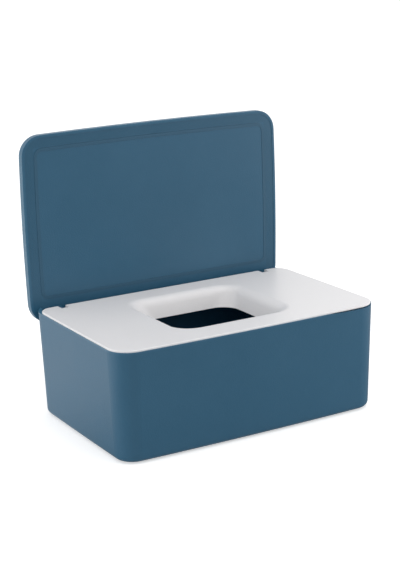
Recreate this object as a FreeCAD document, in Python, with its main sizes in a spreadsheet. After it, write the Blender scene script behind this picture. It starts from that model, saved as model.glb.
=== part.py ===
import FreeCAD, Part
import math
import operator
import os

import Sketcher

# Countertop wipes dispenser: a drafted box, a lift-out cover with a basin and a dispensing
# hole, and a double-walled lid that turns on two pins behind the cover. Millimetres and
# degrees. Z is up from the table, X to the right and Y to the back, and the origin is on
# the table under the middle of the box. The lid stands open at rest.

doc = FreeCAD.newDocument("WipesDispenser")

# Driving sizes

SIZES = {
    # box
    "box_width": 190.0,
    "box_depth": 124.0,
    "box_height": 70.2,
    "front_bow": 1.66,
    "side_bow": 0.3,
    "corner_radius": 15.0,
    "draft_angle": 1.86,
    "box_wall": 2.4,
    "box_floor": 2.4,
    "heel_radius": 4.0,
    "cove_radius": 2.5,
    "window_width": 179.0,
    # thumb notch in the front of the rim
    "thumb_inset": 20.0,
    "thumb_width": 42.0,
    "thumb_depth": 1.0,
    # feet
    "foot_radius": 7.0,
    "foot_proud": 0.5,
    "foot_seat": 1.0,
    "foot_inset": 19.0,
    "foot_gap": 0.15,
    "foot_round": 0.4,
    # cover
    "cover_inset": 0.6,
    "cover_thickness": 1.2,
    "cover_edge_round": 0.5,
    "cover_corner": 9.6,
    "trough_width": 9.0,
    "plug_gap": 0.3,
    "plug_wall": 2.0,
    "ledge_thickness": 1.5,
    "band_height": 4.5,
    # basin and dispensing hole
    "hole_width": 68.4,
    "hole_depth": 61.0,
    "hole_place": 3.8,
    "hole_radius": 12.8,
    "basin_drop": 12.5,
    "basin_slope": 23.2,
    "basin_corner": 10.0,
    "basin_wall": 1.6,
    "basin_round": 8.0,
    # seal of the cover
    "band_groove_height": 2.0,
    "band_groove_depth": 0.9,
    "band_groove_place": 1.2,
    "band_seal_proud": 0.15,
    # hinge
    "hinge_inset": 6.9,
    "hinge_drop": 6.2,
    "pin_radius": 1.5,
    "pin_gap": 0.06,
    "pin_bevel": 0.3,
    "arm_inset": 17.5,
    "arm_width": 4.8,
    "arm_gap": 0.4,
    "arm_radius": 3.7,
    "lug_thickness": 2.2,
    "lug_radius": 3.3,
    "notch_length": 6.5,
    # lid
    "lid_overhang": 0.2,
    "lid_bow": 1.08,
    "lid_corner": 14.0,
    "lid_thickness": 6.5,
    "lid_skin": 2.0,
    "lid_round": 2.0,
    "lid_gap": 0.3,
    "lip_width": 2.0,
    "lip_round": 0.4,
    "liner_recess": 0.2,
    "liner_thickness": 2.4,
    "liner_seat": 1.6,
    "liner_gap": 0.05,
    "lid_open_angle": 90.0,
    # seal of the lid
    "seal_inset": 8.4,
    "seal_groove_width": 2.2,
    "seal_groove_depth": 1.2,
    "seal_side_gap": 0.05,
    "seal_proud": 0.15,
    "seal_rear_place": 9.0,
    # how far a cut runs past what it cuts
    "overrun": 5.0,
}

SAME_PLACE = 0.001

sheet = doc.addObject("Spreadsheet::Sheet", "Sizes")
for row, (name, number) in enumerate(SIZES.items(), start=1):
    sheet.set(f"A{row}", name)
    sheet.set(f"B{row}", str(number))
    sheet.setAlias(f"B{row}", name)
doc.recompute()


class Size:
    """A size on the sheet or a sum of such sizes, as an expression and as a number."""

    def __init__(self, text, number):
        self.text = text
        self.number = number

    def __add__(self, other):
        return joined(self, "+", other)

    def __radd__(self, other):
        return joined(other, "+", self)

    def __sub__(self, other):
        return joined(self, "-", other)

    def __rsub__(self, other):
        return joined(other, "-", self)

    def __mul__(self, other):
        return joined(self, "*", other)

    def __rmul__(self, other):
        return joined(other, "*", self)

    def __truediv__(self, other):
        return joined(self, "/", other)

    def __rtruediv__(self, other):
        return joined(other, "/", self)

    def __pow__(self, other):
        return joined(self, "^", other)

    def __neg__(self):
        return joined(0, "-", self)


WORKINGS = {
    "+": operator.add,
    "-": operator.sub,
    "*": operator.mul,
    "/": operator.truediv,
    "^": operator.pow,
}


def as_size(value):
    if isinstance(value, Size):
        return value
    return Size(repr(value), value)


def joined(left, sign, right):
    left = as_size(left)
    right = as_size(right)
    number = WORKINGS[sign](left.number, right.number)
    return Size(f"({left.text} {sign} {right.text})", number)


def size(name):
    return Size(f"Sizes.{name}", SIZES[name])


def tangent(angle):
    return Size(f"tan({angle.text})", math.tan(math.radians(angle.number)))


def bind(thing, **sizes):
    for name, value in sizes.items():
        thing.setExpression(name, as_size(value).text)


def bind_place(thing, path, x=0, y=0, z=0):
    for letter, value in zip("xyz", (x, y, z)):
        thing.setExpression(f"{path}.{letter}", as_size(value).text)


# Levels and places that several pieces share

rim_level = size("foot_proud") + size("box_height")
cover_level = rim_level + size("cover_thickness")
lip_level = cover_level + size("lid_gap")
hinge_level = lip_level - size("hinge_drop")
hinge_place = size("box_depth") / 2 - size("hinge_inset")
ledge_level = hinge_level - size("hinge_inset") - size("lid_bow") - size("lid_gap")
sill_level = ledge_level - size("ledge_thickness")
band_level = sill_level - size("band_height")
cover_rear = size("box_depth") / 2 - size("trough_width")
arm_place = size("box_width") / 2 - size("arm_inset")
slot_width = size("arm_width") + 2 * size("arm_gap")


def draft_inset(level):
    """How far the draft brings the box's walls in at a level below the rim."""
    return (rim_level - level) * tangent(size("draft_angle"))


# Features of a body


def new_body(label):
    body = doc.addObject("PartDesign::Body", label)
    body.Label = label
    return body


def new_sketch(body, name, plane="XY_Plane", offset=0):
    """A sketch on one of the body's own origin planes, moved along that plane's normal."""
    sketch = body.newObject("Sketcher::SketchObject", name)
    planes = [item for item in body.Origin.OriginFeatures if item.Role == plane]
    sketch.AttachmentSupport = (planes[0], [""])
    sketch.MapMode = "FlatFace"
    sketch.setExpression("AttachmentOffset.Base.z", as_size(offset).text)
    return sketch


def new_feature(body, kind, name, sketch, length, reverse):
    feature = body.newObject(f"PartDesign::{kind}", name)
    feature.Profile = sketch
    feature.Reversed = reverse
    bind(feature, Length=length)
    doc.recompute()
    return feature


def check_cut(feature, before):
    """A cut has to take material away."""
    if not feature.Shape.Volume < before:
        raise RuntimeError(f"{feature.Label} cuts nothing")


def pad(body, name, sketch, length, reverse=False):
    return new_feature(body, "Pad", name, sketch, length, reverse)


def pocket(body, name, sketch, length, reverse=False):
    before = body.Shape.Volume
    feature = new_feature(body, "Pocket", name, sketch, length, reverse)
    check_cut(feature, before)
    return feature


def drafted(body, kind, name, *sections):
    """Sloping walls ruled from one outline to the next, each at its own level."""
    sketches = []
    for number, (level, outline) in enumerate(sections, start=1):
        sketch = new_sketch(body, f"{name}Section{number}", offset=level)
        draw_outline(sketch, outline, "section")
        sketches.append(sketch)
    doc.recompute()
    feature = body.newObject(f"PartDesign::{kind}Loft", name)
    feature.Profile = sketches[0]
    feature.Sections = sketches[1:]
    feature.Ruled = True
    doc.recompute()
    return feature


def drafted_pad(body, name, *sections):
    return drafted(body, "Additive", name, *sections)


def drafted_pocket(body, name, *sections):
    before = body.Shape.Volume
    feature = drafted(body, "Subtractive", name, *sections)
    check_cut(feature, before)
    return feature


def rounded(body, name, edges, radius):
    before = body.Tip
    feature = body.newObject("PartDesign::Fillet", name)
    feature.Base = (before, edges)
    bind(feature, Radius=radius)
    doc.recompute()
    return feature


def bevelled(body, name, edges, length):
    before = body.Tip
    feature = body.newObject("PartDesign::Chamfer", name)
    feature.Base = (before, edges)
    bind(feature, Size=length)
    doc.recompute()
    return feature


def mirror_across_middle(body, name, originals):
    """The same features on the other side of the plane X = 0."""
    feature = body.newObject("PartDesign::Mirrored", name)
    planes = [item for item in body.Origin.OriginFeatures if item.Role == "YZ_Plane"]
    feature.Originals = originals
    feature.MirrorPlane = (planes[0], [""])
    body.Tip = feature
    doc.recompute()
    return feature


def level_edges(shape, level, within=None, beyond=None):
    """Names of the edges at one level, and where asked inside or outside a half width."""
    names = []
    for number, edge in enumerate(shape.Edges, start=1):
        box = edge.BoundBox
        reach = max(-box.XMin, box.XMax)
        if abs(box.ZMin - level.number) > SAME_PLACE or box.ZLength > SAME_PLACE:
            continue
        if within is not None and reach > within.number:
            continue
        if beyond is not None and reach < beyond.number:
            continue
        names.append(f"Edge{number}")
    return names


# Outlines


class Rail:
    """One side of an outline: a flat arc, or a straight line where its radius is None."""

    def __init__(self, place, radius=None):
        self.place = place
        self.radius = radius


class Outline:
    """A rounded oblong whose four sides may bow outwards, in the plane of a sketch."""

    def __init__(self, front, rear, side, middle, corner):
        self.front = front
        self.rear = rear
        self.side = side
        self.middle = middle
        self.corner = corner
        self.rear_corner = corner


def rail_radius(chord, bow):
    return chord ** 2 / (8 * bow) + bow / 2


def bowed_outline(width, depth, end_bow, side_bow, corner, middle, inset, rear=None):
    """An outline moved inwards by an even inset; rear puts a straight line at the back."""
    end_radius = rail_radius(width, end_bow) - inset
    side_radius = rail_radius(depth, side_bow) - inset
    front = Rail(middle - depth / 2 - end_bow + inset, end_radius)
    back = Rail(middle + depth / 2 + end_bow - inset, end_radius)
    if rear is not None:
        back = Rail(rear)
    side = Rail(width / 2 + side_bow - inset, side_radius)
    return Outline(front, back, side, middle, corner - inset)


def box_outline(inset, rear=None):
    """The box's outline; with a straight rear it has the tighter rear corners of the cover."""
    sizes = [size(name) for name in ("box_width", "box_depth", "front_bow", "side_bow")]
    outline = bowed_outline(*sizes, size("corner_radius"), as_size(0), inset, rear)
    if rear is not None:
        outline.rear_corner = size("cover_corner") - inset
    return outline


def walls(level, inset, rear=None):
    """A section of the drafted box at a level, its outline moved in from the outer face."""
    return level, box_outline(inset + draft_inset(level), rear)


def lid_outline(inset, rear=None):
    width = size("box_width") + 2 * size("lid_overhang")
    depth = size("box_depth") + size("lid_overhang")
    middle = size("hinge_inset") - depth / 2
    bow = size("lid_bow")
    return bowed_outline(width, depth, bow, bow, size("lid_corner"), middle, inset, rear)


def oblong_outline(half_width, half_depth, corner, middle):
    front = Rail(middle - half_depth)
    rear = Rail(middle + half_depth)
    return Outline(front, rear, Rail(half_width), middle, corner)


def meeting(outline, end, sign, corner):
    """The corner arc's centre and where it meets the end and the right-hand side."""
    radius = corner.number
    end_y = end.place.number
    side_x = outline.side.place.number
    middle = outline.middle.number
    if outline.side.radius is None:
        centre = FreeCAD.Vector(side_x - radius, end_y - sign * radius)
        on_side = FreeCAD.Vector(side_x, centre.y)
        return centre, FreeCAD.Vector(centre.x, end_y), on_side
    side_reach = outline.side.radius.number
    side_centre = FreeCAD.Vector(side_x - side_reach, middle)
    if end.radius is None:
        centre_y = end_y - sign * radius
        run = math.sqrt((side_reach - radius) ** 2 - (centre_y - middle) ** 2)
        centre = FreeCAD.Vector(side_centre.x + run, centre_y)
        on_end = FreeCAD.Vector(centre.x, end_y)
    else:
        end_reach = end.radius.number
        end_centre = FreeCAD.Vector(0, end_y - sign * end_reach)
        along = side_centre - end_centre
        gap = along.Length
        along.normalize()
        across = FreeCAD.Vector(-along.y, along.x)
        if across.x < 0:
            across = -across
        first = end_reach - radius
        second = side_reach - radius
        run = (first ** 2 - second ** 2 + gap ** 2) / (2 * gap)
        rise = math.sqrt(first ** 2 - run ** 2)
        centre = end_centre + along * run + across * rise
        on_end = end_centre + (centre - end_centre) * (end_reach / first)
    on_side = side_centre + (centre - side_centre) * (side_reach / (side_reach - radius))
    return centre, on_end, on_side


def across_middle(point):
    return FreeCAD.Vector(-point.x, point.y)


def arc_through(centre, start, end):
    """An arc that turns counter-clockwise from start to end."""
    radius = (start - centre).Length
    circle = Part.Circle(centre, FreeCAD.Vector(0, 0, 1), radius)
    angles = [math.atan2(point.y - centre.y, point.x - centre.x) for point in (start, end)]
    return Part.ArcOfCircle(circle, *angles)


def named_constraint(sketch, name, value, *details):
    """A constraint with a size, bound to the sheet."""
    number = sketch.addConstraint(Sketcher.Constraint(*details, as_size(value).number))
    sketch.renameConstraint(number, name)
    sketch.setExpression(f"Constraints.{name}", as_size(value).text)


def fix_height(sketch, name, item, point, height):
    """Hold a point of a sketch at a height above or below the sketch's own X axis."""
    if abs(height.number) < SAME_PLACE:
        sketch.addConstraint(Sketcher.Constraint("PointOnObject", item, point, -1))
    elif height.number > 0:
        named_constraint(sketch, name, height, "DistanceY", -1, 1, item, point)
    else:
        named_constraint(sketch, name, -height, "DistanceY", item, point, -1, 1)


def fix_across(sketch, name, item, point, place):
    """Hold a point of a sketch to the right or the left of the sketch's own Y axis."""
    if abs(place.number) < SAME_PLACE:
        sketch.addConstraint(Sketcher.Constraint("PointOnObject", item, point, -2))
    elif place.number > 0:
        named_constraint(sketch, name, place, "DistanceX", -1, 1, item, point)
    else:
        named_constraint(sketch, name, -place, "DistanceX", item, point, -1, 1)


def rail_geometry(rail, centre, start, end):
    if rail.radius is None:
        return Part.LineSegment(start, end)
    return arc_through(centre, start, end)


def draw_outline(sketch, outline, name):
    """Four sides and four corner arcs, each tangent to the next."""
    front_centre, front_end, front_side = meeting(outline, outline.front, -1, outline.corner)
    rear_centre, rear_end, rear_side = meeting(outline, outline.rear, 1, outline.rear_corner)
    middle = outline.middle.number
    centres = {}
    for key, rail, sign in (("front", outline.front, -1), ("rear", outline.rear, 1)):
        if rail.radius is not None:
            centres[key] = FreeCAD.Vector(0, rail.place.number - sign * rail.radius.number)
    right_centre = None
    left_centre = None
    if outline.side.radius is not None:
        reach = outline.side.place.number - outline.side.radius.number
        right_centre = FreeCAD.Vector(reach, middle)
        left_centre = FreeCAD.Vector(-reach, middle)
    mirrored = across_middle
    pieces = [
        rail_geometry(outline.front, centres.get("front"), mirrored(front_end), front_end),
        arc_through(front_centre, front_end, front_side),
        rail_geometry(outline.side, right_centre, front_side, rear_side),
        arc_through(rear_centre, rear_side, rear_end),
        rail_geometry(outline.rear, centres.get("rear"), rear_end, mirrored(rear_end)),
        arc_through(mirrored(rear_centre), mirrored(rear_end), mirrored(rear_side)),
        rail_geometry(outline.side, left_centre, mirrored(rear_side), mirrored(front_side)),
        arc_through(mirrored(front_centre), mirrored(front_side), mirrored(front_end)),
    ]
    items = [sketch.addGeometry(piece, False) for piece in pieces]
    front, front_right, right, rear_right, rear, rear_left, left, front_left = items
    for item, after in zip(items, items[1:] + items[:1]):
        sketch.addConstraint(Sketcher.Constraint("Tangent", item, 2, after, 1))
    corners = (
        (front_right, outline.corner),
        (rear_right, outline.rear_corner),
        (rear_left, outline.rear_corner),
        (front_left, outline.corner),
    )
    for item, radius in corners:
        named_constraint(sketch, f"{name}_corner_{item}", radius, "Radius", item)
    for item, rail, sign in ((front, outline.front, -1), (rear, outline.rear, 1)):
        if rail.radius is None:
            sketch.addConstraint(Sketcher.Constraint("Horizontal", item))
            fix_height(sketch, f"{name}_end_{item}", item, 1, rail.place)
        else:
            named_constraint(sketch, f"{name}_bow_{item}", rail.radius, "Radius", item)
            sketch.addConstraint(Sketcher.Constraint("PointOnObject", item, 3, -2))
            height = rail.place - sign * rail.radius
            fix_height(sketch, f"{name}_end_{item}", item, 3, height)
    for item, sign in ((right, 1), (left, -1)):
        if outline.side.radius is None:
            sketch.addConstraint(Sketcher.Constraint("Vertical", item))
            place = sign * outline.side.place
            fix_across(sketch, f"{name}_side_{item}", item, 1, place)
        else:
            radius = outline.side.radius
            named_constraint(sketch, f"{name}_bow_{item}", radius, "Radius", item)
            place = sign * (outline.side.place - radius)
            fix_across(sketch, f"{name}_side_{item}", item, 3, place)
            fix_height(sketch, f"{name}_middle_{item}", item, 3, outline.middle)


def draw_circle(sketch, name, x, y, radius):
    centre = FreeCAD.Vector(as_size(x).number, as_size(y).number)
    circle = Part.Circle(centre, FreeCAD.Vector(0, 0, 1), radius.number)
    item = sketch.addGeometry(circle, False)
    named_constraint(sketch, f"{name}_radius", radius, "Radius", item)
    fix_across(sketch, f"{name}_across", item, 3, as_size(x))
    fix_height(sketch, f"{name}_height", item, 3, as_size(y))


def draw_polygon(sketch, name, points):
    """Straight lines through points, each point held by its own two sizes."""
    places = [FreeCAD.Vector(x.number, y.number) for x, y in points]
    items = []
    for start, end in zip(places, places[1:] + places[:1]):
        items.append(sketch.addGeometry(Part.LineSegment(start, end), False))
    for item, after in zip(items, items[1:] + items[:1]):
        sketch.addConstraint(Sketcher.Constraint("Coincident", item, 2, after, 1))
    for item, (x, y) in zip(items, points):
        fix_across(sketch, f"{name}_across_{item}", item, 1, x)
        fix_height(sketch, f"{name}_height_{item}", item, 1, y)


def draw_oblong(sketch, name, left, right, low, high):
    draw_polygon(sketch, name, [(left, low), (right, low), (right, high), (left, high)])


# Box: one moulding with drafted walls, cut down at the back for the lid


def make_box():
    body = new_body("box_shell")
    underside = size("foot_proud")
    block = drafted_pad(
        body, "BoxBlock", walls(rim_level, as_size(0)), walls(underside, as_size(0))
    )
    rounded(body, "Heel", level_edges(block.Shape, underside), size("heel_radius"))

    floor_level = underside + size("box_floor")
    wall = size("box_wall")
    cavity = drafted_pocket(body, "Cavity", walls(rim_level, wall), walls(floor_level, wall))
    floor_edges = level_edges(cavity.Shape, floor_level)
    rounded(body, "FloorCove", floor_edges, size("cove_radius"))

    window = new_sketch(body, "WindowOutline", offset=rim_level)
    half = size("window_width") / 2
    near = size("box_depth") / 2 - size("corner_radius")
    far = size("box_depth") / 2 + size("front_bow") + size("overrun")
    draw_oblong(window, "window", -half, half, near, far)
    pocket(body, "Window", window, rim_level - sill_level)

    front = size("box_depth") / 2 + size("front_bow") + size("overrun")
    thumb = new_sketch(body, "ThumbOutline", plane="XZ_Plane", offset=front)
    half = size("thumb_width") / 2
    drop = size("thumb_depth")
    radius = (half ** 2 + drop ** 2) / (2 * drop)
    middle = size("box_width") / 2 - size("thumb_inset")
    draw_circle(thumb, "thumb", middle, rim_level - drop + radius, radius)
    pocket(body, "ThumbNotch", thumb, front - size("box_depth") / 2 + size("corner_radius") / 2)

    seats = new_sketch(body, "FootSeats", offset=size("foot_proud"))
    for name, x, y in foot_places():
        draw_circle(seats, name, x, y, size("foot_radius") + size("foot_gap"))
    pocket(body, "FootSeatPockets", seats, size("foot_seat"), reverse=True)
    return body


# Feet: four soft pads pressed into shallow seats in the underside


def foot_places():
    x = size("box_width") / 2 - size("foot_inset")
    y = size("box_depth") / 2 - size("foot_inset")
    return (
        ("foot_front_left", -x, -y),
        ("foot_front_right", x, -y),
        ("foot_rear_left", -x, y),
        ("foot_rear_right", x, y),
    )


def make_foot(label, x, y):
    body = new_body(label)
    circle = new_sketch(body, f"{label}_circle")
    draw_circle(circle, "pad", 0, 0, size("foot_radius"))
    disc = pad(body, f"{label}_disc", circle, size("foot_proud") + size("foot_seat"))
    rounded(body, f"{label}_edge", level_edges(disc.Shape, as_size(0)), size("foot_round"))
    bind_place(body, "Placement.Base", x, y)
    return body


# Cover: a plate on the rim, a plug inside the box, and a ledge over the low rear wall


def make_cover():
    body = new_body("inner_cover")
    wall_inset = size("box_wall") + size("plug_gap")

    flange = new_sketch(body, "FlangeOutline", offset=sill_level)
    draw_outline(flange, box_outline(size("cover_inset") + draft_inset(sill_level)), "flange")
    pad(body, "Flange", flange, size("ledge_thickness"))

    skirt_front = cover_rear - size("plug_wall")
    reach = size("window_width") / 2 - size("plug_gap")
    far = size("box_width") / 2 + size("overrun")
    front = -size("box_depth") / 2 - size("front_bow") - size("overrun")
    rear = size("box_depth") / 2 + size("front_bow") + size("overrun")
    trim = new_sketch(body, "FlangeTrimOutline", offset=sill_level + size("ledge_thickness"))
    corners = [
        (-far, front),
        (far, front),
        (far, rear),
        (reach, rear),
        (reach, skirt_front),
        (-reach, skirt_front),
        (-reach, rear),
        (-far, rear),
    ]
    draw_polygon(trim, "trim", corners)
    pocket(body, "FlangeTrim", trim, size("ledge_thickness"))

    band = new_sketch(body, "BandOutline", offset=band_level)
    band_inset = wall_inset + draft_inset(band_level)
    draw_outline(band, box_outline(band_inset), "band")
    pad(body, "Band", band, ledge_level - band_level)

    top = walls(rim_level, wall_inset, rear=cover_rear)
    drafted_pad(body, "Plug", top, walls(ledge_level, wall_inset, rear=cover_rear))

    plate = new_sketch(body, "PlateOutline", offset=rim_level)
    draw_outline(plate, box_outline(size("cover_inset"), rear=cover_rear), "plate")
    pad(body, "Plate", plate, size("cover_thickness"))

    hollow = new_sketch(body, "PlugHollowOutline", offset=band_level)
    hollow_inset = band_inset + size("plug_wall")
    draw_outline(hollow, box_outline(hollow_inset, rear=skirt_front), "hollow")
    pocket(body, "PlugHollow", hollow, rim_level - band_level, reverse=True)

    under = new_sketch(body, "LedgeHollowOutline", offset=band_level)
    draw_outline(under, box_outline(hollow_inset + size("plug_wall") / 2), "under")
    pocket(body, "LedgeHollow", under, size("band_height"), reverse=True)

    add_basin(body)
    add_lugs(body)

    low = band_level + size("band_groove_place")
    groove = new_sketch(body, "BandGrooveOutline", offset=low + size("band_groove_height"))
    draw_outline(groove, box_outline(band_inset - size("plug_gap")), "mouth")
    draw_outline(groove, box_outline(band_inset + size("band_groove_depth")), "root")
    pocket(body, "BandGroove", groove, size("band_groove_height"))
    return body


def add_basin(body):
    """The bowl with its hole: a sloping wall of even thickness under the plate."""
    slope = tangent(size("basin_slope"))
    wall = size("basin_wall")
    hole_corner = size("hole_radius")
    corner = size("basin_corner")
    low = cover_level - size("basin_drop")
    inner_spread = size("basin_drop") * slope
    outer_spread = (rim_level - low) * slope + wall

    def section(level, spread, radius):
        reach = (size("hole_width") / 2 + spread, size("hole_depth") / 2 + spread)
        return level, oblong_outline(*reach, radius, -size("hole_place"))

    top = section(rim_level, outer_spread, corner + wall)
    block = drafted_pad(body, "Bowl", top, section(low, wall, hole_corner + wall))
    near = size("hole_width") / 2 + 2 * outer_spread
    edges = level_edges(block.Shape, rim_level, within=near)
    rounded(body, "BowlRoot", edges, size("basin_round") + size("cover_thickness"))

    top = section(cover_level, inner_spread, corner)
    hole = drafted_pocket(body, "Basin", top, section(low, as_size(0), hole_corner))
    edges = level_edges(hole.Shape, cover_level, within=near)
    rim = rounded(body, "BasinRim", edges, size("basin_round"))
    edges = level_edges(rim.Shape, cover_level, beyond=size("box_width") / 4)
    rounded(body, "PlateEdge", edges, size("cover_edge_round"))


def add_lugs(body):
    """Four lugs on the ledge, and between each pair a slot that runs up through the plate."""
    middle = arm_place
    outside = slot_width / 2 + size("lug_thickness")
    slot_front = cover_rear - size("notch_length")
    block_front = slot_front - size("plug_wall")
    radius = size("lug_radius")
    top = hinge_level + radius
    back = hinge_place + radius

    block = new_sketch(body, "LugOutline", plane="YZ_Plane", offset=middle - outside)
    points = [
        (block_front, sill_level),
        (back, sill_level),
        (back, hinge_level),
        (hinge_place, top),
        (cover_rear - size("plug_wall") / 2, top),
        (cover_rear - size("plug_wall") / 2, rim_level),
        (block_front, rim_level),
    ]
    draw_rounded_end(block, "lug", points)
    lugs = pad(body, "Lugs", block, 2 * outside)

    slot = new_sketch(body, "SlotOutline", plane="YZ_Plane", offset=middle + slot_width / 2)
    rear = size("box_depth") / 2 + size("overrun")
    high = cover_level + size("overrun")
    draw_oblong(slot, "slot", slot_front, rear, ledge_level, high)
    notch = pocket(body, "Slot", slot, slot_width)
    mirror_across_middle(body, "OtherLugs", [lugs, notch])

    bore = new_sketch(body, "PinBoreOutline", plane="YZ_Plane", offset=middle + outside)
    draw_circle(bore, "bore", hinge_place, hinge_level, size("pin_radius"))
    pocket(body, "PinBores", bore, 2 * (middle + outside))


def draw_rounded_end(sketch, name, points):
    """A polygon whose third side is a quarter arc round the hinge axis."""
    places = [FreeCAD.Vector(x.number, y.number) for x, y in points]
    centre = FreeCAD.Vector(hinge_place.number, hinge_level.number)
    items = []
    for number, (start, end) in enumerate(zip(places, places[1:] + places[:1])):
        if number == 2:
            piece = arc_through(centre, start, end)
        else:
            piece = Part.LineSegment(start, end)
        items.append(sketch.addGeometry(piece, False))
    arc = items[2]
    for item, after in zip(items, items[1:] + items[:1]):
        sketch.addConstraint(Sketcher.Constraint("Coincident", item, 2, after, 1))
    for item, (x, y) in zip(items, points):
        if item != arc:
            fix_across(sketch, f"{name}_across_{item}", item, 1, x)
            fix_height(sketch, f"{name}_height_{item}", item, 1, y)
    named_constraint(sketch, f"{name}_radius", size("lug_radius"), "Radius", arc)
    fix_across(sketch, f"{name}_centre", arc, 3, hinge_place)
    fix_height(sketch, f"{name}_start", arc, 1, hinge_level)


# Seal of the cover: a soft ring in the groove of the plug's lower band


def make_cover_seal():
    body = new_body("cover_seal")
    band_inset = size("box_wall") + size("plug_gap") + draft_inset(band_level)
    low = band_level + size("band_groove_place")
    ring = new_sketch(body, "CoverSealOutline", offset=low)
    draw_outline(ring, box_outline(band_inset - size("band_seal_proud")), "outer")
    draw_outline(ring, box_outline(band_inset + size("band_groove_depth")), "inner")
    pad(body, "CoverSealRing", ring, size("band_groove_height"))
    return body


# Hinge pins: two plain steel pins, each held in a pair of lugs


def make_pin(label, side):
    body = new_body(label)
    length = slot_width + 2 * size("lug_thickness")
    middle = side * arm_place
    circle = new_sketch(body, f"{label}_circle", plane="YZ_Plane", offset=-length / 2)
    draw_circle(circle, "pin", 0, 0, size("pin_radius"))
    pad(body, f"{label}_rod", circle, length)
    ends = []
    for number, edge in enumerate(body.Tip.Shape.Edges, start=1):
        if edge.BoundBox.XLength < SAME_PLACE:
            ends.append(f"Edge{number}")
    bevelled(body, f"{label}_bevel", ends, size("pin_bevel"))
    bind_place(body, "Placement.Base", middle, hinge_place, hinge_level)
    doc.recompute()
    return body


# Lid: modelled closed about the hinge axis, then stood open


def stand_open(body):
    body.Placement.Rotation = FreeCAD.Rotation(FreeCAD.Vector(-1, 0, 0), 90)
    body.setExpression("Placement.Rotation.Angle", size("lid_open_angle").text)
    bind_place(body, "Placement.Base", 0, hinge_place, hinge_level)
    doc.recompute()


def make_lid_shell():
    body = new_body("lid_shell")
    lip = size("hinge_drop")
    top = lip + size("lid_thickness")

    outer = new_sketch(body, "LidOutline", offset=lip)
    draw_outline(outer, lid_outline(as_size(0)), "lid")
    pad(body, "LidBlock", outer, size("lid_thickness"))
    rounded(body, "LidTopEdge", level_edges(body.Tip.Shape, top), size("lid_round"))
    rounded(body, "LidLipEdge", level_edges(body.Tip.Shape, lip), size("lip_round"))

    seat = new_sketch(body, "LinerSeatOutline", offset=lip)
    draw_outline(seat, lid_outline(size("lip_width")), "seat")
    seat_depth = size("liner_recess") + size("liner_thickness")
    pocket(body, "LinerSeat", seat, seat_depth, reverse=True)

    hollow = new_sketch(body, "LidHollowOutline", offset=lip)
    draw_outline(hollow, lid_outline(size("lip_width") + size("liner_seat")), "hollow")
    hollow_depth = size("lid_thickness") - size("lid_skin")
    pocket(body, "LidHollow", hollow, hollow_depth, reverse=True)
    stand_open(body)
    return body


def make_lid_liner():
    body = new_body("lid_liner")
    face = size("hinge_drop") + size("liner_recess")

    panel = new_sketch(body, "LinerOutline", offset=face)
    draw_outline(panel, lid_outline(size("lip_width") + size("liner_gap")), "liner")
    pad(body, "LinerPanel", panel, size("liner_thickness"))

    groove = new_sketch(body, "SealGrooveOutline", offset=face)
    inset = size("seal_inset")
    width = size("seal_groove_width")
    rear = -size("seal_rear_place")
    draw_outline(groove, lid_outline(inset, rear=rear), "outer")
    draw_outline(groove, lid_outline(inset + width, rear=rear - width), "inner")
    pocket(body, "SealGroove", groove, size("seal_groove_depth"), reverse=True)

    radius = size("arm_radius")
    middle = arm_place
    start = middle - size("arm_width") / 2
    arm = new_sketch(body, "ArmOutline", plane="YZ_Plane", offset=start)
    draw_arm(arm, radius, face + size("liner_thickness") / 2)
    eye = pad(body, "Arm", arm, size("arm_width"))
    bore = new_sketch(body, "ArmBoreOutline", plane="YZ_Plane", offset=middle + size("arm_width"))
    draw_circle(bore, "bore", 0, 0, size("pin_radius") + size("pin_gap"))
    hole = pocket(body, "ArmBore", bore, 2 * size("arm_width"))
    mirror_across_middle(body, "OtherArm", [eye, hole])
    stand_open(body)
    return body


def draw_arm(sketch, radius, height):
    """A tongue from the liner down to a half-round end about the hinge axis."""
    left = FreeCAD.Vector(-radius.number, 0)
    right = FreeCAD.Vector(radius.number, 0)
    left_top = FreeCAD.Vector(-radius.number, height.number)
    right_top = FreeCAD.Vector(radius.number, height.number)
    end = sketch.addGeometry(arc_through(FreeCAD.Vector(0, 0), left, right), False)
    sides = []
    for start, stop in ((right, right_top), (right_top, left_top), (left_top, left)):
        sides.append(sketch.addGeometry(Part.LineSegment(start, stop), False))
    rise, root, fall = sides
    sketch.addConstraint(Sketcher.Constraint("Coincident", end, 3, -1, 1))
    sketch.addConstraint(Sketcher.Constraint("Tangent", end, 2, rise, 1))
    sketch.addConstraint(Sketcher.Constraint("Coincident", rise, 2, root, 1))
    sketch.addConstraint(Sketcher.Constraint("Coincident", root, 2, fall, 1))
    sketch.addConstraint(Sketcher.Constraint("Tangent", fall, 2, end, 1))
    sketch.addConstraint(Sketcher.Constraint("Vertical", rise))
    sketch.addConstraint(Sketcher.Constraint("Vertical", fall))
    sketch.addConstraint(Sketcher.Constraint("Horizontal", root))
    named_constraint(sketch, "arm_radius", radius, "Radius", end)
    fix_height(sketch, "arm_height", root, 1, height)


# Seal of the lid: a soft ring in the liner's groove


def make_lid_seal():
    body = new_body("lid_seal")
    face = size("hinge_drop") + size("liner_recess")
    inset = size("seal_inset") + size("seal_side_gap")
    width = size("seal_groove_width") - 2 * size("seal_side_gap")
    rear = -size("seal_rear_place") - size("seal_side_gap")
    ring = new_sketch(body, "LidSealOutline", offset=face - size("seal_proud"))
    draw_outline(ring, lid_outline(inset, rear=rear), "outer")
    draw_outline(ring, lid_outline(inset + width, rear=rear - width), "inner")
    pad(body, "LidSealRing", ring, size("seal_proud") + size("seal_groove_depth"))
    stand_open(body)
    return body


# Build, check and write every piece


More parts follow.
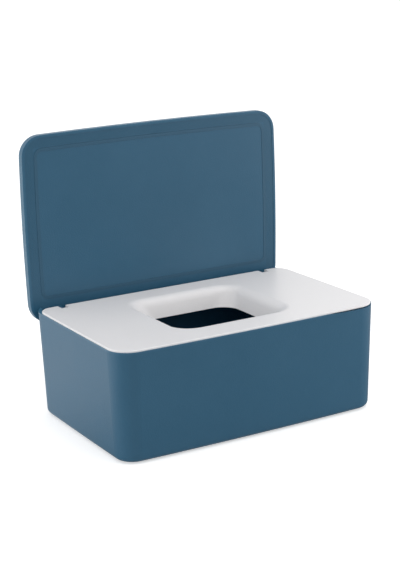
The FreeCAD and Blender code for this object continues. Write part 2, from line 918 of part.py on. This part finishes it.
def write_pieces(bodies):
    doc.recompute()
    for item in doc.Objects:
        if "Invalid" in item.State or "Error" in item.State:
            raise RuntimeError(f"{item.Label} did not build: {item.State}")
    os.makedirs("parts", exist_ok=True)
    for body in bodies:
        shape = body.Shape
        if shape.isNull() or not shape.isValid() or len(shape.Solids) != 1:
            raise RuntimeError(f"{body.Label} is not one sound solid")
        shape.exportStep(f"parts/{body.Label}.step")


pieces = [make_box()]
for foot_label, foot_x, foot_y in foot_places():
    pieces.append(make_foot(foot_label, foot_x, foot_y))
pieces.append(make_cover())
pieces.append(make_cover_seal())
pieces.append(make_pin("hinge_pin_left", -1))
pieces.append(make_pin("hinge_pin_right", 1))
pieces.append(make_lid_shell())
pieces.append(make_lid_liner())
pieces.append(make_lid_seal())
write_pieces(pieces)
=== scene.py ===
import math

import bpy
from mathutils import Matrix, Vector


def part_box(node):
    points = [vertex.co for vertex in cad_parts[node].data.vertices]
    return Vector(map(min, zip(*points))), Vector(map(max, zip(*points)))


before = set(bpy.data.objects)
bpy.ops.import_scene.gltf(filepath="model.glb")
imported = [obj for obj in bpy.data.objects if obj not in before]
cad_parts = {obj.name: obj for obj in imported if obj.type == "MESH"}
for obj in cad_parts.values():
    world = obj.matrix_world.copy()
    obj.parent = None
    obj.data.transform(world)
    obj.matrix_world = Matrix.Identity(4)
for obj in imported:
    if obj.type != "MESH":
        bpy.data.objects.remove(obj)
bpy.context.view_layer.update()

# Box: one injection moulding in slate-blue plastic, with drafted walls that bow slightly.
# Its faces carry the fine, even spark-eroded grain of the mould, so they shine softly. Hands
# rub the rim a little lighter and glossier, and the counter does the same to the heel.

SLATE_BLUE = {
    "base": (0.018, 0.096, 0.173),
    "cloudy": (0.0235, 0.115, 0.204),
    "rubbed": (0.05, 0.158, 0.25),
}
BOX_ROUGHNESS = 0.42
PLASTIC_SPECULAR = 0.6
CLOUD_PER_METRE = 20.0
CLOUD_DETAIL = 3.0
CLOUD_IN_TINT = 0.9
GRAIN_PER_METRE = 1400.0
GRAIN_DETAIL = 2.0
GRAIN_IN_TINT = 0.8
GRAIN_HEIGHT = 0.00015
GRAIN_STRENGTH = 0.7
TINT_DROP = 0.35
PATCHES_PER_METRE = 140.0
PATCHES_DETAIL = 4.0
WEAR_ALL_OVER = 0.12
ROUGHNESS_DROP = 0.09
ROUGHNESS_SWING = 0.1
# Painted shade: how much darker the border of the lid's liner is made.
PAINTED_BORDER_SHADE = (0.86, 0.9, 0.9)
RIM_BAND = 0.0012
HEEL_BAND = 0.0035


class Signal:
    """An output of a shader node, or no output yet, at the start of a tree.

    Its node method adds any node, and a sum of signals adds its own Math nodes.
    """

    def __init__(self, tree, output=None):
        self.tree = tree
        self.output = output

    def node(self, kind, settings, sockets, output=0):
        made = self.tree.nodes.new(f"ShaderNode{kind}")
        for name, value in settings.items():
            setattr(made, name, value)
        for name, value in sockets.items():
            if isinstance(value, Signal):
                self.tree.links.new(value.output, made.inputs[name])
            else:
                made.inputs[name].default_value = value
        return Signal(self.tree, made.outputs[output])

    def worked(self, operation, first, second):
        return self.node("Math", {"operation": operation}, {0: first, 1: second})

    def __add__(self, other):
        return self.worked("ADD", self, other)

    def __radd__(self, other):
        return self.worked("ADD", other, self)

    def __sub__(self, other):
        return self.worked("SUBTRACT", self, other)

    def __rsub__(self, other):
        return self.worked("SUBTRACT", other, self)

    def __mul__(self, other):
        return self.worked("MULTIPLY", self, other)

    def __rmul__(self, other):
        return self.worked("MULTIPLY", other, self)


def opaque(colour):
    return (*colour, 1.0)


def new_finish(name):
    """A new material, its node tree and its Principled shader."""
    material = bpy.data.materials.new(name)
    material.use_nodes = True
    tree = material.node_tree
    return material, tree, tree.nodes["Principled BSDF"]


def noise(start, place, scale, detail):
    return start.node("TexNoise", {}, {"Vector": place, "Scale": scale, "Detail": detail})


def blended(start, share, under, over, kind="MIX"):
    """A share of one colour over another, by the colour sockets of a Mix node."""
    return start.node(
        "Mix",
        {"data_type": "RGBA", "blend_type": kind},
        {"Factor": share, 6: under, 7: over},
        output=2,
    )


def rising(start, distance, begins, full):
    """0 at the distance where a band begins, rising smoothly to 1 where it is full."""
    return start.node(
        "MapRange",
        {"interpolation_type": "SMOOTHSTEP"},
        {"Value": distance, "From Min": begins, "From Max": full},
    )


def reach(node, axis):
    """The lowest and the highest place of a solid at rest along an axis."""
    lowest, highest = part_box(node)
    return lowest["XYZ".index(axis)], highest["XYZ".index(axis)]


def inside_bands(start, place, bands):
    """How far a place lies into any of the bands.

    A band is an axis and two distances from the origin along it, on both sides of the part:
    where the band begins and where it is full.
    """
    most = 0.0
    for axis, begins, full in bands:
        along = start.node("SeparateXYZ", {}, {"Vector": place}, output=axis)
        away = start.node("Math", {"operation": "ABSOLUTE"}, {0: along})
        most = start.worked("MAXIMUM", most, rising(start, away, begins, full))
    return most


def moulded_plastic(name, tones, roughness, rubbed_bands=(), painted_shade_bands=()):
    """Moulded plastic: an even grain, a faint cloud of flow and a slightly uneven shine.

    It is lighter where it is rubbed, and darker where bands of painted shade are laid on it.
    """
    material, tree, shader = new_finish(name)
    start = Signal(tree)
    place = start.node("TexCoord", {}, {}, output="Object")
    cloud = noise(start, place, CLOUD_PER_METRE, CLOUD_DETAIL)
    grain = noise(start, place, GRAIN_PER_METRE, GRAIN_DETAIL)
    patches = noise(start, place, PATCHES_PER_METRE, PATCHES_DETAIL)
    mottle = CLOUD_IN_TINT * cloud + GRAIN_IN_TINT * grain - TINT_DROP
    wear = (WEAR_ALL_OVER + inside_bands(start, place, rubbed_bands)) * patches
    # Painted shade: how far a place lies into the bands that are made darker.
    painted_shade = inside_bands(start, place, painted_shade_bands)
    tint = blended(start, mottle, opaque(tones["base"]), opaque(tones["cloudy"]))
    tint = blended(start, wear, tint, opaque(tones["rubbed"]))
    # Painted shade: the tint is darkened inside those bands.
    tint = blended(start, painted_shade, tint, opaque(PAINTED_BORDER_SHADE), kind="MULTIPLY")
    uneven = roughness - ROUGHNESS_DROP + ROUGHNESS_SWING * (cloud + grain - wear)
    relief = start.node(
        "Bump", {}, {"Strength": GRAIN_STRENGTH, "Distance": GRAIN_HEIGHT, "Height": grain}
    )
    shader.inputs["Specular IOR Level"].default_value = PLASTIC_SPECULAR
    tree.links.new(tint.output, shader.inputs["Base Color"])
    tree.links.new(uneven.output, shader.inputs["Roughness"])
    tree.links.new(relief.output, shader.inputs["Normal"])
    return material


def dress(material, *nodes):
    """Gives solids of the CAD model their material."""
    for node in nodes:
        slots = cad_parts[node].data.materials
        slots.clear()
        slots.append(material)


heel, rim = reach("box_shell", "Z")
box_plastic = moulded_plastic(
    "box_plastic",
    SLATE_BLUE,
    BOX_ROUGHNESS,
    rubbed_bands=[("Z", rim - RIM_BAND, rim), ("Z", heel + HEEL_BAND, heel)],
)
dress(box_plastic, "box_shell")

# Feet: four pads of soft grey rubber under the corners of the box, which keep it from
# sliding on the counter. The counter rubs their soles lighter.

FOOT_GREY = {
    "base": (0.3, 0.31, 0.32),
    "cloudy": (0.34, 0.35, 0.36),
    "rubbed": (0.42, 0.42, 0.42),
}
RUBBER_ROUGHNESS = 0.5

sole, foot_top = reach("foot_front_left", "Z")
foot_rubber = moulded_plastic(
    "foot_rubber", FOOT_GREY, RUBBER_ROUGHNESS, rubbed_bands=[("Z", foot_top, sole)]
)
dress(foot_rubber, "foot_front_left", "foot_front_right", "foot_rear_left", "foot_rear_right")

# Cover: a white moulding in the same kind of plastic, with a rounded basin and a hole that
# the next wipe is pulled through. It is a little glossier than the box, and its two ends
# are rubbed where fingers lift it out.

WHITE = {
    "base": (0.79, 0.78, 0.79),
    "cloudy": (0.83, 0.82, 0.83),
    "rubbed": (0.87, 0.86, 0.86),
}
COVER_ROUGHNESS = 0.38
COVER_EDGE_BAND = 0.0015

cover_side = reach("inner_cover", "X")[1]
white_plastic = moulded_plastic(
    "white_plastic",
    WHITE,
    COVER_ROUGHNESS,
    rubbed_bands=[("X", cover_side - COVER_EDGE_BAND, cover_side)],
)
dress(white_plastic, "inner_cover")

# Hinge pins: two short lengths of drawn steel wire, pressed into the lugs at the back of
# the cover. They are bright, with fine draw lines along them.

STEEL = (0.58, 0.58, 0.59)
STEEL_METALLIC = 1.0
STEEL_ROUGHNESS = 0.3
STEEL_ROUGHNESS_DROP = 0.08
STEEL_ROUGHNESS_SWING = 0.16
LINES_PER_METRE = 4000.0
LINES_STRETCH = (0.015, 1.0, 1.0)
LINES_DETAIL = 2.0

pin_steel, tree, shader = new_finish("pin_steel")
start = Signal(tree)
place = start.node("TexCoord", {}, {}, output="Object")
stretched = start.node("Mapping", {}, {"Vector": place, "Scale": LINES_STRETCH})
lines = noise(start, stretched, LINES_PER_METRE, LINES_DETAIL)
uneven = STEEL_ROUGHNESS - STEEL_ROUGHNESS_DROP + STEEL_ROUGHNESS_SWING * lines
shader.inputs["Base Color"].default_value = opaque(STEEL)
shader.inputs["Metallic"].default_value = STEEL_METALLIC
tree.links.new(uneven.output, shader.inputs["Roughness"])
dress(pin_steel, "hinge_pin_left", "hinge_pin_right")

# Lid: a skin and a liner in the plastic of the box, standing open on the two pins. Fingers
# lift it by its free edges, so these are rubbed. The liner carries painted shade: from the
# seal outwards, where it meets the cover, its border is made darker.

LID_EDGE_BAND = 0.002
BORDER_FADE = 0.001

lid_side = reach("lid_shell", "X")[1]
lid_edge = reach("lid_shell", "Z")[1]
seal_side = reach("lid_seal", "X")[1]
seal_edge = reach("lid_seal", "Z")[1]
lid_plastic = moulded_plastic(
    "lid_plastic",
    SLATE_BLUE,
    BOX_ROUGHNESS,
    rubbed_bands=[
        ("Z", lid_edge - LID_EDGE_BAND, lid_edge),
        ("X", lid_side - LID_EDGE_BAND, lid_side),
    ],
)
# Painted shade: the liner's border, from the seal outwards, is made darker.
liner_plastic = moulded_plastic(
    "liner_plastic",
    SLATE_BLUE,
    BOX_ROUGHNESS,
    painted_shade_bands=[
        ("Z", seal_edge - BORDER_FADE, seal_edge),
        ("X", seal_side - BORDER_FADE, seal_side),
    ],
)
dress(lid_plastic, "lid_shell")
dress(liner_plastic, "lid_liner")

# Seals: two thin rings of soft rubber in the colour of the lid, darkened as painted shade
# to the tone of the liner's border. One lies in a groove of the liner, and the other runs
# round the plug of the cover, against the wall of the box.

# Painted shade: the lid's tones made darker, as at the liner's border.
SEAL_BLUE_WITH_PAINTED_SHADE = {
    "base": (0.017, 0.089, 0.158),
    "cloudy": (0.022, 0.102, 0.179),
    "rubbed": (0.034, 0.11, 0.182),
}

seal_rubber = moulded_plastic("seal_rubber", SEAL_BLUE_WITH_PAINTED_SHADE, RUBBER_ROUGHNESS)
dress(seal_rubber, "lid_seal", "cover_seal")

# Floor: a wide, flat sheet of plain pale paper. The camera sees it lit from below too, so
# that only the shadow close to the box shows. What the plastic mirrors of it is grey in
# front of the box and white behind it.

FLOOR_WIDTH = 12.0
FLOOR_LEVEL = -0.0002
FLOOR_COLOUR = (0.8, 0.8, 0.8)
FLOOR_ROUGHNESS = 0.9
FLOOR_SPECULAR = 0.0
FLOOR_GLOW = 0.5
FLOOR_FRONT = -0.12
FLOOR_BACK = 0.12
MIRRORED_FRONT = 0.12
MIRRORED_BACK = 1.0
WHITE_LIGHT = (1.0, 1.0, 1.0, 1.0)


def glowing(start, kind, strength):
    """An even white light, as an Emission or a Background node."""
    return start.node(kind, {}, {"Color": WHITE_LIGHT, "Strength": strength})


def by_ray(tree, kind, coordinates, front, back, lit, seen):
    """A part of the studio: as it is lit, as the camera sees it, and as plastic mirrors it."""
    start = Signal(tree)
    to_camera = start.node("LightPath", {}, {}, output="Is Camera Ray")
    to_mirror = start.node("LightPath", {}, {}, output="Is Glossy Ray")
    place = start.node("TexCoord", {}, {}, output=coordinates)
    depth = start.node("SeparateXYZ", {}, {"Vector": place}, output="Y")
    behind = rising(start, depth, front, back)
    grey = glowing(start, kind, MIRRORED_FRONT)
    white = glowing(start, kind, MIRRORED_BACK)
    mirrored = start.node("MixShader", {}, {0: behind, 1: grey, 2: white})
    direct = start.node("MixShader", {}, {0: to_camera, 1: lit, 2: seen})
    return start.node("MixShader", {}, {0: to_mirror, 1: direct, 2: mirrored})


bpy.ops.mesh.primitive_plane_add(size=FLOOR_WIDTH, location=(0.0, 0.0, FLOOR_LEVEL))
floor = bpy.context.active_object
floor.name = "floor"
floor_paper, tree, shader = new_finish("floor_paper")
floor_paper.cycles.emission_sampling = "NONE"
shader.inputs["Base Color"].default_value = opaque(FLOOR_COLOUR)
shader.inputs["Roughness"].default_value = FLOOR_ROUGHNESS
shader.inputs["Specular IOR Level"].default_value = FLOOR_SPECULAR
paper = Signal(tree, shader.outputs["BSDF"])
from_below = glowing(paper, "Emission", FLOOR_GLOW)
bright_paper = paper.node("AddShader", {}, {0: paper, 1: from_below})
surface = by_ray(tree, "Emission", "Object", FLOOR_FRONT, FLOOR_BACK, paper, bright_paper)
tree.links.new(surface.output, tree.nodes["Material Output"].inputs["Surface"])
floor.data.materials.append(floor_paper)

# World: an even white studio, which the camera sees as plain white. As with the floor, what
# the plastic mirrors of it is grey in front and white behind.

WORLD_LIGHT = 0.82
WORLD_SEEN = 1.0
WORLD_FRONT = -0.3
WORLD_BACK = 0.5

world = bpy.data.worlds.new("studio")
bpy.context.scene.world = world
world.use_nodes = True
tree = world.node_tree
start = Signal(tree)
lit = glowing(start, "Background", WORLD_LIGHT)
seen = glowing(start, "Background", WORLD_SEEN)
surface = by_ray(tree, "Background", "Generated", WORLD_FRONT, WORLD_BACK, lit, seen)
tree.links.new(surface.output, tree.nodes["World Output"].inputs["Surface"])

# Lamps: three square soft boxes. One stands low at the right and a weaker one low at the
# left, for the ends of the box. The largest hangs high above it.

RIGHT_PLACE = (0.7, -0.3, 0.14)
RIGHT_AIM = (0.05, 0.0, 0.08)
RIGHT_POWER = 1.8
TOP_PLACE = (0.1, -0.2, 1.3)
TOP_AIM = (0.0, 0.0, 0.07)
TOP_POWER = 3.1
LEFT_PLACE = (-0.8, 0.1, 0.1)
LEFT_AIM = (0.0, 0.0, 0.03)
LEFT_POWER = 1.5
SIDE_WIDTH = 0.35
TOP_WIDTH = 0.7


def soft_box(name, place, aim, width, power):
    lamp = bpy.data.lights.new(name, "AREA")
    lamp.shape = "SQUARE"
    lamp.size = width
    lamp.energy = power
    holder = bpy.data.objects.new(name, lamp)
    bpy.context.scene.collection.objects.link(holder)
    turn = (Vector(aim) - Vector(place)).to_track_quat("-Z", "Y")
    holder.matrix_world = Matrix.Translation(place) @ turn.to_matrix().to_4x4()


soft_box("key_soft_box", RIGHT_PLACE, RIGHT_AIM, SIDE_WIDTH, RIGHT_POWER)
soft_box("top_soft_box", TOP_PLACE, TOP_AIM, TOP_WIDTH, TOP_POWER)
soft_box("left_soft_box", LEFT_PLACE, LEFT_AIM, SIDE_WIDTH, LEFT_POWER)

# Camera: as the photograph was taken, from the front left and a little above. Its place,
# turn, tilt and roll come from a fit to the edges of the box and the lid.

CAMERA_AZIMUTH = 29.87
CAMERA_ELEVATION = 14.96
CAMERA_ROLL = -1.675
CAMERA_DISTANCE = 0.9052
CAMERA_AIM = (-0.00295, 0.0, 0.08632)
CAMERA_LENS = 89.0
CAMERA_NEAREST = 0.01
LEVEL_TILT = 90.0

camera_data = bpy.data.cameras.new("camera")
camera_data.lens = CAMERA_LENS
camera_data.clip_start = CAMERA_NEAREST
camera = bpy.data.objects.new("camera", camera_data)
bpy.context.scene.collection.objects.link(camera)
turn = (
    Matrix.Rotation(math.radians(-CAMERA_AZIMUTH), 4, "Z")
    @ Matrix.Rotation(math.radians(LEVEL_TILT - CAMERA_ELEVATION), 4, "X")
    @ Matrix.Rotation(math.radians(CAMERA_ROLL), 4, "Z")
)
back = turn.col[2].to_3d()
camera.matrix_world = Matrix.Translation(Vector(CAMERA_AIM) + back * CAMERA_DISTANCE) @ turn
bpy.context.scene.camera = camera
bpy.context.scene.view_settings.view_transform = "Standard"
